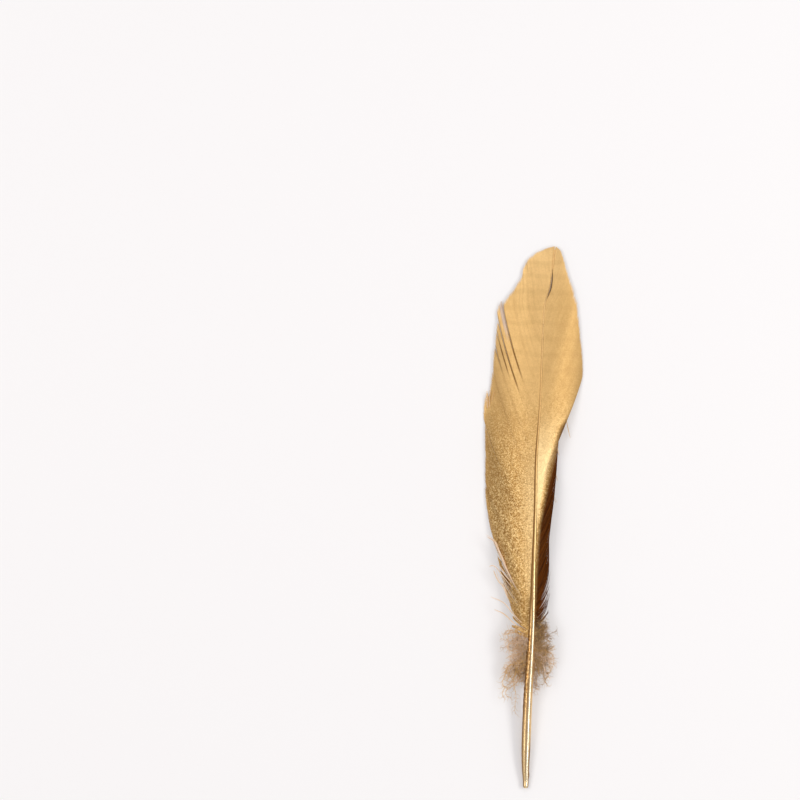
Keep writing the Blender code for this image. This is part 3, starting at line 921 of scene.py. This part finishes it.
print("a barb is", round(1000 * OVERLAP * BARB_PITCH, 2), "mm wide")

# %% [markdown]
# The paint needs to know where on its vane each point lies, and where light and shade are painted on.
# That is worked out here, once, and stored in the mesh: `dim` and `pale` gold, on the narrow vane
# painted shade and a painted highlight, `shaded` brown as painted shade beside a split, at the slit and
# by the shaft at the foot, dark brown painted as shade where the narrow vane turns away, and `bare` on
# one strip that stayed unpainted. Painting masks by hand would give the same, but these follow the
# shape when a curve above is changed.

# %% Numbers for the paint
# How far out on the narrow vane the painted highlight ends and the roll's painted shade begins:
# (place along, share of the vane's width).
ROLL_SHADE_LIMIT = (
    (0.060, 0.05), (0.070, 0.08), (0.080, 0.13), (0.089, 0.20), (0.094, 0.28), (0.101, 0.44),
    (0.108, 0.58), (0.118, 0.82), (0.1266, 1.0), (0.132, 1.4),
)
SECOND_VANE = 500.0                # barbs of the narrow vane are numbered from here


def shadow_of_splits(vane, roots, shares):
    """Painted shade: how brown a barb is beside a split."""
    shadow = np.zeros((len(roots), len(shares)))
    for root, depth, _, _ in vane["splits"]:
        opened = smooth_step(depth - 0.06, depth + 0.10, shares)
        opened = opened * (1 - 0.5 * smooth_step(depth + 0.2, 0.95, shares))
        shadow = np.maximum(shadow, bell(roots, root, 1.1 * BARB_PITCH) * opened)
    return shadow[..., None]

# %% Spray on the narrow and the wide vane
def narrow_vane_values(along, out, split_shadow, roots, shares):
    """Painted light: a pale highlight by the shaft, and shade on the roll, the upper vane and the slit.
    """
    limit = at(ROLL_SHADE_LIMIT, along)
    lower = stretch(along, 0.062, 0.100, 0.112, 0.136)
    upper = smooth_step(0.118, 0.140, along) * (1 - 0.5 * smooth_step(0.165, 0.186, along))
    beside_slit = stretch(roots, SLIT_LOW, SLIT_LOW + 0.003, SLIT_HIGH - 0.003, SLIT_HIGH)
    slit_shadow = beside_slit * np.exp(-((shares / 0.060) ** 4))
    return {
        "roll_shade": 0.97 * smooth_step(limit - 0.10, limit + 0.24, out) * smooth_step(0.150, 0.138, along),
        "pale": 0.74 * lower * (1 - smooth_step(limit - 0.22, limit + 0.02, out)),
        "dim": upper * (0.10 + 0.36 * smooth_step(0.05, 0.60, out)),
        "shaded": np.maximum(split_shadow, slit_shadow[..., None]),
    }


def wide_vane_values(along, out, split_shadow, roots, shares, from_shaft):
    """Paler gold by the shaft, dimmer further out, painted shade by the shaft at the foot, a bare strip.
    """
    dim = 0.80 * smooth_step(0.146, 0.122, along) * stretch(out, 0.30, 0.68, 0.86, 0.99)
    # Painted shade beside the shaft at the foot.
    foot_shade = stretch(along, 0.0555, 0.0590, 0.0650, 0.0690)
    strip = stretch(roots, 0.1250, 0.1262, 0.1276, 0.1284)
    return {
        "pale": 0.42 * stretch(along, 0.062, 0.072, 0.100, 0.128) * smooth_step(0.42, 0.05, out),
        "dim": np.maximum(dim, 0.85 * foot_shade * bell(from_shaft, 0, 0.0026)),
        "shaded": np.maximum(split_shadow, 0.45 * foot_shade * bell(from_shaft, 0, 0.0019)),
        "bare": (0.85 * strip * smooth_step(0.72, 0.88, shares))[..., None],
    }

# %% The vanes themselves
def vane_values(vane, roots, rings, shares):
    """All numbers that the paint reads, one for each point or one for a whole barb."""
    drift = wander(len(roots), 0.35)
    tone = np.clip(0.5 + drift + chance.normal(0, 0.15, roots.shape), 0, 1)
    along = rings[..., 1] - QUILL_END_Y
    from_shaft = rings[..., 0] + MIDDLE_X - at(SHAFT_SIDEWAYS, along)
    out = from_shaft / (at(vane["outline"], along) - at(SHAFT_SIDEWAYS, along))
    split_shadow = 0.95 * shadow_of_splits(vane, roots, shares)
    if vane["side"] > 0:
        sprayed = narrow_vane_values(along, out, split_shadow, roots, shares)
    else:
        sprayed = wide_vane_values(along, out, split_shadow, roots, shares, from_shaft)
    return {
        "place": along / LENGTH,
        "share": shares[None, :, None],
        "barb": np.arange(len(roots))[:, None, None] + SECOND_VANE * (vane["side"] > 0),
        "dark_barb": smooth_step(0, 1, tone)[..., None],
        "roll_shade": 0.0,
        "bare": 0.0,
        **sprayed,
    }


def vane_piece(vane):
    shares = np.linspace(0, 1, BARB_STEPS + 1)
    roots, locks, reach = barb_family(vane)
    rings = barb_rings(vane, roots, locks, reach, shares)
    if vane["side"] < 0:
        rings = rings[:, :, ::-1]          # so that its faces look outwards too
    values = vane_values(vane, roots, rings, shares)
    feather_piece(vane["name"], rings, values, vane_gold, "gilded_vane", sharp_angle=50)
    print(len(roots), "barbs")


vane_piece(WIDE_VANE)
vane_piece(NARROW_VANE)

# %% [markdown]
# At the foot of the vanes the barbs lose their hooks and turn into down: soft threads with long
# fine barbules that curl and tangle. Sixteen locks of it leave the quill, each a sheaf of curling
# threads. A thread is drawn as a walk: it starts towards the lock's tip and keeps turning, a little
# by chance and strongly at its end. Real meshes take the place of a particle system here, because
# the shapes have to survive an export.

# %% Threads of down
DOWN_LOCKS = (
    # side, root place, tip place, tip sideways, tip height, tone from brown to lilac
    (-1, 0.0525, 0.0530, -0.0112, 0.0032, 0.50), (-1, 0.0512, 0.0508, -0.0120, 0.0034, 1.00),
    (-1, 0.0500, 0.0468, -0.0100, 0.0044, 1.00), (-1, 0.0488, 0.0440, -0.0108, 0.0028, 0.84),
    (-1, 0.0472, 0.0400, -0.0086, 0.0036, 0.70), (-1, 0.0455, 0.0374, -0.0094, 0.0022, 0.74),
    (-1, 0.0440, 0.0330, -0.0066, 0.0030, 0.68), (-1, 0.0425, 0.0290, -0.0056, 0.0016, 0.50),
    (1, 0.0555, 0.0612, 0.0044, 0.0058, 0.10), (1, 0.0540, 0.0570, 0.0052, 0.0060, 0.15),
    (1, 0.0525, 0.0534, 0.0074, 0.0046, 0.30), (1, 0.0512, 0.0484, 0.0068, 0.0048, 0.42),
    (1, 0.0498, 0.0452, 0.0086, 0.0034, 0.56), (1, 0.0482, 0.0408, 0.0066, 0.0036, 0.50),
    (1, 0.0466, 0.0388, 0.0058, 0.0024, 0.42), (1, 0.0450, 0.0352, 0.0036, 0.0028, 0.30),
)
DOWN_THREADS = 10                  # in a lock
DOWN_STEPS = 30
DOWN_SAG = 0.0012
THREAD_RADII = (0.00017, 0.00006)  # at root and tip
ROOT_SPREAD = (0.0013, 0.0006)     # of a lock's roots, along the quill and up
TIP_SPREAD = (0.0014, 0.0008, 0.0005)
LOWEST, HIGHEST = 0.0004, 0.0082   # between the table and the top of the feather
GILT_THREADS = 0.74                # the share of threads that caught some gold

# %% Walks of the threads
def curling_line(start, heading, length, turning, rise, steps):
    """Points of a line that leaves start at a heading seen from above and turns as it goes."""
    headings = heading + turning
    across = np.stack((np.cos(headings), np.sin(headings)), axis=-1)[:-1] * length / steps
    line = np.zeros((steps + 1, 3))
    line[1:, :2] = np.cumsum(across, axis=0)
    line[:, 2] = rise
    return start + line


def down_line(side, root, tip, tip_sideways, tip_height):
    """One thread of a lock: towards the lock's tip, wavy, and with a hook at its end."""
    t = np.linspace(0, 1, DOWN_STEPS + 1)
    root = root + chance.normal(0, ROOT_SPREAD[0])
    start = np.array((root, at(SHAFT_SIDEWAYS, root) + side * 0.0007,
                      at(SHAFT_HEIGHT, root) + chance.uniform(-ROOT_SPREAD[1], ROOT_SPREAD[1])))
    way = np.array((tip, tip_sideways, tip_height)) + chance.normal(0, TIP_SPREAD) - start
    reach = chance.uniform(0.35, 1.0)
    turning = chance.normal(0, 0.6) * t + chance.choice((-1, 1)) * chance.uniform(0.5, 3.6) * t ** 3
    turning += 0.45 * np.sin(2 * math.pi * chance.uniform(0.8, 2.6) * t + chance.uniform(0, 6.3))
    rise = way[2] * reach * t - DOWN_SAG * np.sin(math.pi * t) * 0.5
    rise += 0.0005 * t * np.sin(2 * math.pi * chance.uniform(1, 2.5) * t)
    length = 1.15 * reach * math.hypot(way[0], way[1])
    heading = math.atan2(way[1], way[0])
    line = curling_line(start, heading, length, turning - turning.mean(), rise, DOWN_STEPS)
    return in_frame(line[:, 0], line[:, 1], np.clip(line[:, 2], LOWEST, HIGHEST))


def down_threads():
    """Lines of all threads, how pale each is and how golden."""
    lines, tones = [], []
    for *lock, tone in DOWN_LOCKS:
        for _ in range(DOWN_THREADS):
            lines.append(down_line(*lock))
            tones.append(np.clip(tone + chance.normal(0, 0.22), 0, 1))
    lines, tones = np.array(lines), np.array(tones)
    gilt = (chance.uniform(0, 1, len(lines)) < GILT_THREADS) * chance.uniform(0.5, 1.0, len(lines))
    gilt *= 0.5 + 0.5 * (lines[:, -1, 0] < lines[:, 0, 0])     # less on those that lead right
    return lines, tones, gilt * smooth_step(1.08, 0.72, tones)

# %% The threads themselves
threads, tones, gilt = down_threads()
thick = chance.uniform(0.5, 1.25, (len(threads), 1))
thread_radii = thick * np.linspace(*THREAD_RADII, DOWN_STEPS + 1)
feather_piece("down_threads", round_rings(threads, thread_radii, 5), {
    "tone": tones[:, None, None],
    "share": np.linspace(0, 1, DOWN_STEPS + 1)[None, :, None],
    "gilt": gilt[:, None, None],
}, down_grey, "bare_down")

# %% [markdown]
# Each thread carries barbules on both sides: hair-thin curls that make the down look like mist. There
# are nearly five thousand, so they are short, have three sides only, and are kept as two pieces, left
# and right of the quill, which keeps either mesh light enough to handle.

# %% Barbules of the down
BARBULES = 15                      # on each side of a thread
BARBULE_STEPS = 7
BARBULE_LENGTHS = (0.0009, 0.0036)
BARBULE_RADII = (0.000068, 0.000022)
BOX_MARGIN = 0.0004                # hairs stay this far inside the construction model's box


def barbules_of(threads):
    """Curling hairs on both sides of every thread, the share where each starts, and its thread."""
    tangent = unit(np.gradient(threads, axis=1))
    t = np.linspace(0, 1, BARBULE_STEPS + 1)
    lines, starts, owners = [], [], []
    for number, (thread, direction) in enumerate(zip(threads, tangent)):
        for i in range(BARBULES * 2):
            share = 0.06 + 0.92 * (i // 2 + chance.uniform(0, 1)) / BARBULES
            k = min(int(share * DOWN_STEPS), DOWN_STEPS - 1)
            start = thread[k] + (thread[k + 1] - thread[k]) * (share * DOWN_STEPS - k)
            side = 1 if i % 2 else -1
            heading = math.atan2(direction[k][1], direction[k][0]) + side * chance.uniform(0.3, 1.2)
            length = chance.uniform(*BARBULE_LENGTHS) * (1.15 - 0.5 * share)
            turning = side * chance.uniform(-2.5, 3.5) * t ** 1.5
            rise = length * chance.normal(0, 0.4) * t
            lines.append(curling_line(start, heading, length, turning, rise, BARBULE_STEPS))
            starts.append(share)
            owners.append(number)
    lines = np.array(lines)
    lines[..., 0] = np.clip(lines[..., 0], cad_low.x + BOX_MARGIN, cad_high.x - BOX_MARGIN)
    lines[..., 2] = np.clip(lines[..., 2], LOWEST, HIGHEST)
    return lines, np.array(starts), np.array(owners)


barbules, starts, owners = barbules_of(threads)
barbule_rings = round_rings(barbules, np.linspace(*BARBULE_RADII, BARBULE_STEPS + 1)[None], 3)
on_left = owners < len(threads) / 2
for name, chosen in (("left_down_barbules", on_left), ("right_down_barbules", ~on_left)):
    feather_piece(name, barbule_rings[chosen], {
        "tone": tones[owners[chosen]][:, None, None],
        "share": starts[chosen][:, None, None],
        "gilt": (0.6 * gilt[owners[chosen]])[:, None, None],
    }, down_grey, "bare_down")

# %% [markdown]
# A few barbs came loose from the wide vane and stand off it, and here and there a hair sticks out of
# an edge. Their lines are given one by one, a few points each, and each becomes a small bundle of
# tapering threads, because a single tube would look like wire.

# %% Loose barbs and hairs
LOOSE_BARBS = (
    # radius, then (place, sideways, height) from root to tip
    (0.00024, (0.0700, -0.0072, 0.0056), (0.0766, -0.0109, 0.0046), (0.0798, -0.0124, 0.0042),
     (0.0826, -0.0139, 0.0040), (0.0857, -0.01555, 0.0040), (0.0873, -0.0184, 0.0044)),
    (0.00014, (0.0700, -0.0085, 0.0050), (0.0735, -0.0116, 0.0042), (0.0764, -0.0141, 0.0042),
     (0.0773, -0.0156, 0.0044), (0.0770, -0.0168, 0.0046)),
    (0.00016, (0.0657, -0.0096, 0.0040), (0.0700, -0.0115, 0.0038), (0.0718, -0.0132, 0.0036),
     (0.0739, -0.0145, 0.0036), (0.0757, -0.0153, 0.0038)),
    (0.00015, (0.0685, -0.0066, 0.0054), (0.0718, -0.0088, 0.0048), (0.0745, -0.01145, 0.0043),
     (0.0761, -0.0122, 0.0042), (0.0776, -0.0136, 0.0042)),
    (0.00011, (0.0575, -0.0040, 0.0055), (0.0610, -0.0078, 0.0050), (0.0645, -0.0112, 0.0042),
     (0.0662, -0.0158, 0.0034)),
    (0.00011, (0.0550, -0.0040, 0.0054), (0.0580, -0.0078, 0.0047), (0.0605, -0.0108, 0.0040),
     (0.0618, -0.0142, 0.0036)),
)
EDGE_HAIRS = (
    (0.00007, (0.1225, 0.0040, 0.0030), (0.1205, 0.0044, 0.0026), (0.1167, 0.0056, 0.0020)),
    (0.00007, (0.1150, 0.0032, 0.0030), (0.1110, 0.0046, 0.0024), (0.1080, 0.0056, 0.0018)),
    (0.00007, (0.1065, 0.0032, 0.0030), (0.1030, 0.0040, 0.0024), (0.1002, 0.0054, 0.0020)),
    (0.00007, (0.1330, 0.0066, 0.0022), (0.1281, 0.0078, 0.0016), (0.1232, 0.0091, 0.0010)),
    (0.00009, (0.1320, -0.0203, 0.0010), (0.1350, -0.0206, 0.0011), (0.1382, -0.0207, 0.0013)),
    (0.00009, (0.1325, -0.0196, 0.0011), (0.1355, -0.0197, 0.0013), (0.1388, -0.0195, 0.0016)),
    (0.00009, (0.1330, -0.0188, 0.0012), (0.1360, -0.0187, 0.0014), (0.1384, -0.0182, 0.0018)),
)
LOOSE_STEPS = 20
THINNEST = 0.00002

# %% Bundles of loose threads
def smooth_line(points):
    """A smooth line of LOOSE_STEPS + 1 points through a few (place, sideways, height) points."""
    number = np.linspace(0, len(points) - 1, LOOSE_STEPS + 1)
    return in_frame(*(at(list(enumerate(numbers)), number) for numbers in zip(*points)))


def loose_piece(name, strands, threads, scatter, tones, gilt):
    """Strands as bundles of a few threads, which taper and spread a little towards their tips."""
    bundle, radii = [], []
    rise = np.linspace(0, 1, LOOSE_STEPS + 1)
    taper = (np.minimum(1, 4 * rise) * (1 - rise ** 2)) ** 0.5
    for radius, *points in strands:
        for number in range(threads):
            away = chance.normal(0, scatter, 3) * (number > 0)
            bundle.append(smooth_line(points) + away * (0.3 + rise[:, None]))
            thinner = 1.0 if number == 0 else 0.5
            radii.append(radius * thinner * taper + THINNEST)
    values = {
        "tone": chance.uniform(*tones, len(bundle))[:, None, None],
        "share": 0.5 + 0.5 * rise[None, :, None],
        "gilt": chance.uniform(*gilt, len(bundle))[:, None, None],
    }
    rings = round_rings(np.array(bundle), np.array(radii), 6)
    feather_piece(name, rings, values, down_grey, "bare_down")


loose_piece("loose_barbs", LOOSE_BARBS, 3, 0.00025, (0.85, 1.0), (0.0, 0.35))
loose_piece("edge_hairs", EDGE_HAIRS, 2, 0.00015, (0.4, 0.9), (0.0, 0.8))

# %% [markdown]
# Last, the sizes: the boxes of the construction model and of the dressed feather are printed. The
# dressed feather has to fill the same box as the construction model.

# %% Sizes
visual_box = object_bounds()
for name, box in (("construction", cad_box), ("dressed", visual_box)):
    print(name, [[round(1000 * number, 2) for number in corner] for corner in box])
